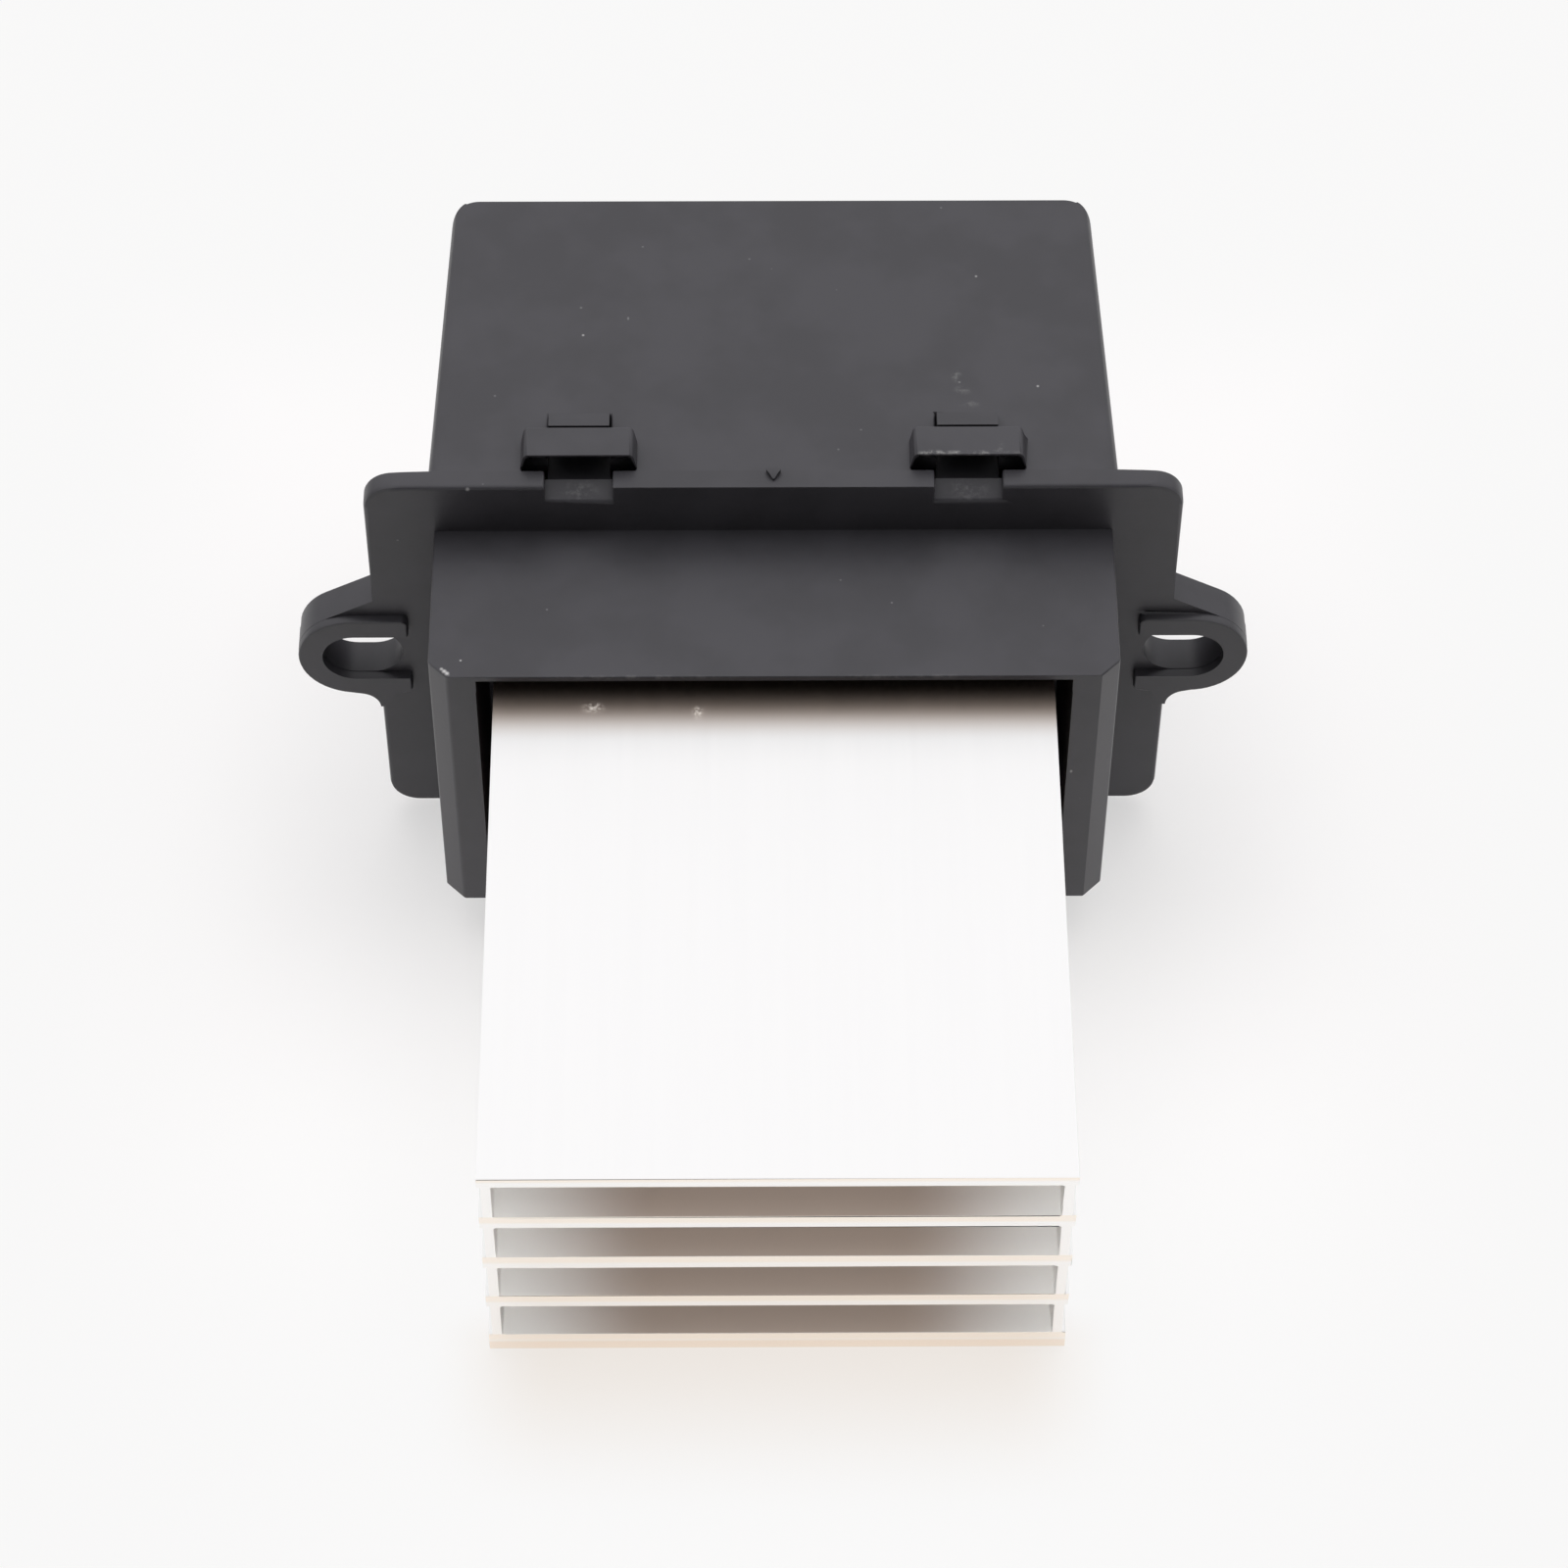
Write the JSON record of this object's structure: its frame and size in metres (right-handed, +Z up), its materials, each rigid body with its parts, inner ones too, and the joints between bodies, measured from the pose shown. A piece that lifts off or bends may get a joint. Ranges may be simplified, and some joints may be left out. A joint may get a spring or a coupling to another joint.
{
  "type": "blower motor resistor",
  "caption": "Blower motor speed control unit: a finned aluminium heat sink in a black moulded frame with slotted ears, closed by a clipped rear cover with a plug socket.",
  "frame": {"origin": "midway between the two fixing slots, on the front faces of their pads", "axes": "+X to the right seen from the fins, +Y from the fins back to the plug socket, +Z up"},
  "size_m": [0.0884, 0.1032, 0.0496],
  "materials": {
    "frame_plastic": "satin black moulding",
    "cover_plastic": "satin black moulding",
    "aluminium": "plain extruded",
    "board": "green solder mask",
    "black_epoxy": "moulded epoxy",
    "pad": "matte",
    "zinc": "zinc plated",
    "tin": "tin plated",
    "sleeve": "shrink sleeve",
    "alloy": "bare",
    "ceramic": "ceramic",
    "cutoff_case": "ceramic"
  },
  "bodies": {
    "root": {"front_frame": "frame_plastic", "rear_cover": "cover_plastic", "heat_sink": "aluminium", "circuit_board": "board", "transistor_left": "black_epoxy", "transistor_right": "black_epoxy", "insulating_pad_left": "pad", "insulating_pad_right": "pad", "transistor_screws": "zinc", "transistor_nuts": "zinc", "heat_sink_screws": "zinc", "board_screws": "zinc", "power_blade_left": "tin", "power_blade_right": "tin", "signal_blade_left": "tin", "signal_blade_right": "tin", "filter_capacitor": "sleeve", "current_shunt": "alloy", "control_chip": "black_epoxy", "protection_diode": "black_epoxy", "chip_resistors": "black_epoxy", "chip_capacitors": "ceramic", "thermal_cutoff": "cutoff_case"}
  },
  "joints": []
}
